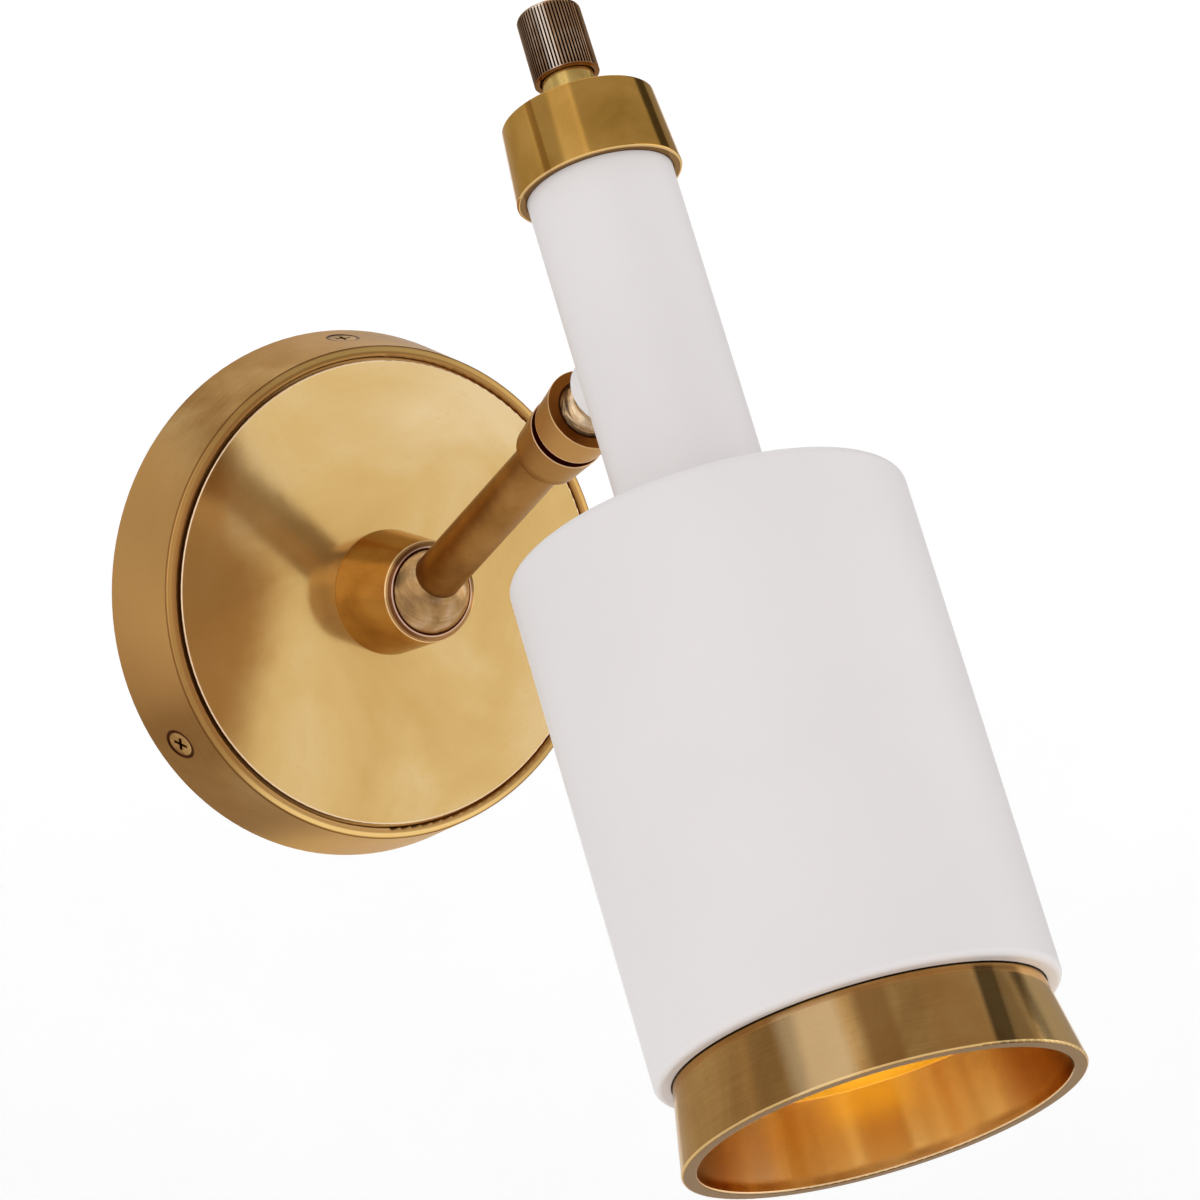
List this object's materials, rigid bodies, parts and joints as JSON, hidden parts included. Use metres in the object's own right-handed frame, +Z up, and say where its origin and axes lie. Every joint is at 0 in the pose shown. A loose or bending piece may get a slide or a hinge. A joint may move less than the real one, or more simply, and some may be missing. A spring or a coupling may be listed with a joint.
{
  "type": "wall light",
  "caption": "Wall light with a round backplate, a short arm on two ball joints, and a cylindrical shade under a tube with a dimmer knob.",
  "frame": {"origin": "centre of the backplate's rear face, in the wall's plane", "axes": "+Z up, -Y straight out of the wall, +X to the right of someone who faces the wall"},
  "size_m": [0.1204, 0.2579, 0.2487],
  "materials": {
    "aged_brass": "brushed, lacquered, lightly aged",
    "boss_brass": "satin, aged",
    "dark_brass": "dark antique, satin",
    "knob_brass": "dark antique, fluted",
    "ball_brass": "brushed, pale",
    "white_paint": "satin white paint",
    "zinc_steel": "zinc plated",
    "spring_steel": "plain spring steel",
    "green_screw": "green",
    "seat_plastic": "moulded",
    "holder_plastic": "moulded, white",
    "dimmer_plastic": "moulded, black",
    "contact_brass": "bright, pressed",
    "lead_insulation": "smooth",
    "bulb_cap_metal": "satin",
    "bulb_glass": "frosted, warm, lit"
  },
  "bodies": {
    "wall_base": {"wall_bracket": "zinc_steel", "ground_screw": "green_screw", "backplate_drum": "aged_brass", "face_plate": "aged_brass", "side_screws": "aged_brass", "socket_boss": "boss_brass", "socket_plug": "zinc_steel", "lock_washer": "zinc_steel", "lock_nut": "zinc_steel", "wall_spring": "spring_steel"},
    "wall_seat_body": {"wall_seat": "seat_plastic"},
    "arm": {"wall_ball": "ball_brass", "arm_tube": "dark_brass", "arm_cup": "dark_brass", "cup_ring_nut": "dark_brass", "head_spring": "spring_steel", "arm_leads": "lead_insulation"},
    "head_seat_body": {"head_seat": "seat_plastic"},
    "head": {"head_ball": "ball_brass", "neck_sleeve": "white_paint", "saddle_washer": "zinc_steel", "stem_nut": "zinc_steel", "upper_tube": "white_paint", "shade": "white_paint", "shade_bushing": "zinc_steel", "trim_ring": "aged_brass", "top_cap": "aged_brass", "dimmer_body": "dimmer_plastic", "collar_nut": "dark_brass", "holder_bracket": "zinc_steel", "bracket_screws": "zinc_steel", "lampholder_stud": "zinc_steel", "stud_nut": "zinc_steel", "lampholder_cap": "holder_plastic", "lampholder_body": "holder_plastic", "screw_shell": "contact_brass", "centre_contact": "contact_brass", "holder_leads": "lead_insulation", "neck_leads": "lead_insulation", "bulb_base": "bulb_cap_metal", "bulb_globe": "bulb_glass"},
    "knob_body": {"dimmer_shaft": "zinc_steel", "knob": "knob_brass", "knob_screw": "spring_steel"}
  },
  "joints": [
    {"name": "arm_swing", "type": "hinge", "parent": "wall_base", "child": "wall_seat_body", "pos_m": [0, -0.0363, 0], "axis": [0, -1, 0], "range_deg": [-175, 175]},
    {"name": "arm_tilt", "type": "hinge", "parent": "wall_seat_body", "child": "arm", "pos_m": [0, -0.0363, 0], "axis": [-0.9914, 0, -0.1305], "range_deg": [-55, 10]},
    {"name": "head_turn", "type": "hinge", "parent": "arm", "child": "head_seat_body", "pos_m": [-0.00487, -0.11624, 0.03696], "axis": [-0.0552, -0.9063, 0.419], "range_deg": [-170, 170]},
    {"name": "head_tilt", "type": "hinge", "parent": "head_seat_body", "child": "head", "pos_m": [-0.00487, -0.11624, 0.03696], "axis": [-0.9963, 0.0221, -0.0833], "range_deg": [-35, 35]},
    {"name": "knob_turn", "type": "hinge", "parent": "head", "child": "knob_body", "pos_m": [-0.01111, -0.11871, 0.11098], "axis": [-0.0662, 0.422, 0.9042], "range_deg": [-270, 0]}
  ]
}
